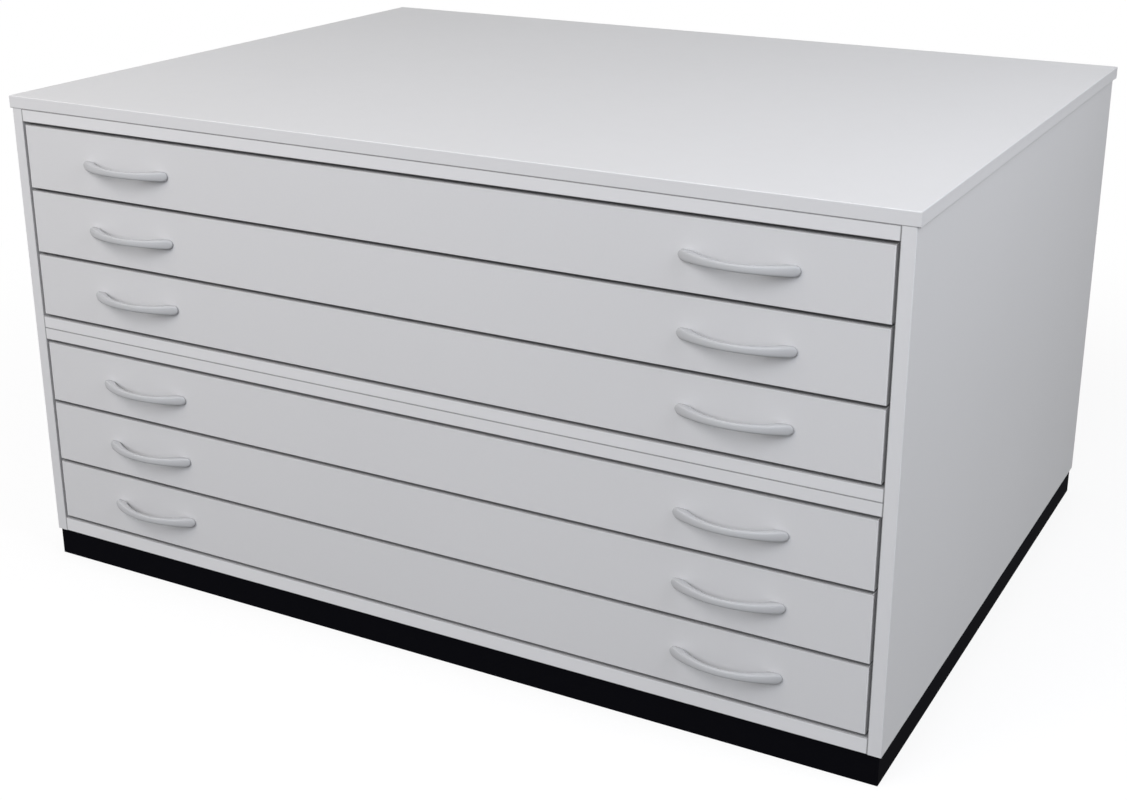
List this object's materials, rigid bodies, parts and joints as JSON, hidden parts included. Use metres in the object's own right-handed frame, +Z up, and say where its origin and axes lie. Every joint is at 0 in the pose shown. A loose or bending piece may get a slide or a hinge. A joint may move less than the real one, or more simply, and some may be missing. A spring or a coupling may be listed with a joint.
{
  "type": "plan chest",
  "caption": "Low flat-file chest for paper: wide shallow drawers on telescopic runners, inset fronts with bow handles, faced-board carcass on a recessed black plinth.",
  "frame": {"origin": "on the floor, at the middle of the bounding box, whose depth runs from the handles' fronts to the back of the top", "axes": "+Z up, -Y towards the drawer fronts, +X to the right of someone facing them"},
  "size_m": [1.34, 1.021, 0.72],
  "materials": {
    "faced_board": "pale grey-white melamine facing on chipboard, fine satin grain",
    "plinth_black": "black melamine facing, satin",
    "back_board": "pale painted fibreboard, matt",
    "drawer_box": "white melamine facing",
    "drawer_bottom": "white lacquered fibreboard",
    "runner_steel": "bright zinc plate",
    "handle_satin": "satin nickel"
  },
  "bodies": {
    "carcass": {"top_panel": "faced_board", "right_side": "faced_board", "left_side": "faced_board", "back_panel": "back_board", "base_panel": "faced_board", "middle_shelf": "faced_board", "middle_rail": "faced_board", "top_front_rail": "faced_board", "top_back_rail": "faced_board", "plinth_front": "plinth_black", "plinth_back": "plinth_black", "plinth_right": "plinth_black", "plinth_left": "plinth_black", "plinth_bearer": "plinth_black", "cabinet_rails_right": "runner_steel", "cabinet_rails_left": "runner_steel"},
    "drawer_1": {"drawer_1_front": "faced_board", "drawer_1_sides": "drawer_box", "drawer_1_ends": "drawer_box", "drawer_1_bottom": "drawer_bottom", "drawer_1_handles": "handle_satin", "drawer_1_rails": "runner_steel"},
    "runner_1_middle": {"runner_1_middles": "runner_steel"},
    "drawer_2": {"drawer_2_front": "faced_board", "drawer_2_sides": "drawer_box", "drawer_2_ends": "drawer_box", "drawer_2_bottom": "drawer_bottom", "drawer_2_handles": "handle_satin", "drawer_2_rails": "runner_steel"},
    "runner_2_middle": {"runner_2_middles": "runner_steel"},
    "drawer_3": {"drawer_3_front": "faced_board", "drawer_3_sides": "drawer_box", "drawer_3_ends": "drawer_box", "drawer_3_bottom": "drawer_bottom", "drawer_3_handles": "handle_satin", "drawer_3_rails": "runner_steel"},
    "runner_3_middle": {"runner_3_middles": "runner_steel"},
    "drawer_4": {"drawer_4_front": "faced_board", "drawer_4_sides": "drawer_box", "drawer_4_ends": "drawer_box", "drawer_4_bottom": "drawer_bottom", "drawer_4_handles": "handle_satin", "drawer_4_rails": "runner_steel"},
    "runner_4_middle": {"runner_4_middles": "runner_steel"},
    "drawer_5": {"drawer_5_front": "faced_board", "drawer_5_sides": "drawer_box", "drawer_5_ends": "drawer_box", "drawer_5_bottom": "drawer_bottom", "drawer_5_handles": "handle_satin", "drawer_5_rails": "runner_steel"},
    "runner_5_middle": {"runner_5_middles": "runner_steel"},
    "drawer_6": {"drawer_6_front": "faced_board", "drawer_6_sides": "drawer_box", "drawer_6_ends": "drawer_box", "drawer_6_bottom": "drawer_bottom", "drawer_6_handles": "handle_satin", "drawer_6_rails": "runner_steel"},
    "runner_6_middle": {"runner_6_middles": "runner_steel"}
  },
  "joints": [
    {"name": "drawer_1_slide", "type": "slide", "parent": "carcass", "child": "drawer_1", "axis": [0, -1, 0], "range_m": [0, 0.85]},
    {"name": "runner_1_slide", "type": "slide", "parent": "carcass", "child": "runner_1_middle", "axis": [0, -1, 0], "range_m": [0, 0.425]},
    {"name": "drawer_2_slide", "type": "slide", "parent": "carcass", "child": "drawer_2", "axis": [0, -1, 0], "range_m": [0, 0.85]},
    {"name": "runner_2_slide", "type": "slide", "parent": "carcass", "child": "runner_2_middle", "axis": [0, -1, 0], "range_m": [0, 0.425]},
    {"name": "drawer_3_slide", "type": "slide", "parent": "carcass", "child": "drawer_3", "axis": [0, -1, 0], "range_m": [0, 0.85]},
    {"name": "runner_3_slide", "type": "slide", "parent": "carcass", "child": "runner_3_middle", "axis": [0, -1, 0], "range_m": [0, 0.425]},
    {"name": "drawer_4_slide", "type": "slide", "parent": "carcass", "child": "drawer_4", "axis": [0, -1, 0], "range_m": [0, 0.85]},
    {"name": "runner_4_slide", "type": "slide", "parent": "carcass", "child": "runner_4_middle", "axis": [0, -1, 0], "range_m": [0, 0.425]},
    {"name": "drawer_5_slide", "type": "slide", "parent": "carcass", "child": "drawer_5", "axis": [0, -1, 0], "range_m": [0, 0.85]},
    {"name": "runner_5_slide", "type": "slide", "parent": "carcass", "child": "runner_5_middle", "axis": [0, -1, 0], "range_m": [0, 0.425]},
    {"name": "drawer_6_slide", "type": "slide", "parent": "carcass", "child": "drawer_6", "axis": [0, -1, 0], "range_m": [0, 0.85]},
    {"name": "runner_6_slide", "type": "slide", "parent": "carcass", "child": "runner_6_middle", "axis": [0, -1, 0], "range_m": [0, 0.425]}
  ],
  "couplings": [
    {"joint": "runner_1_slide", "follows": "drawer_1_slide", "ratio": 0.5},
    {"joint": "runner_2_slide", "follows": "drawer_2_slide", "ratio": 0.5},
    {"joint": "runner_3_slide", "follows": "drawer_3_slide", "ratio": 0.5},
    {"joint": "runner_4_slide", "follows": "drawer_4_slide", "ratio": 0.5},
    {"joint": "runner_5_slide", "follows": "drawer_5_slide", "ratio": 0.5},
    {"joint": "runner_6_slide", "follows": "drawer_6_slide", "ratio": 0.5}
  ]
}
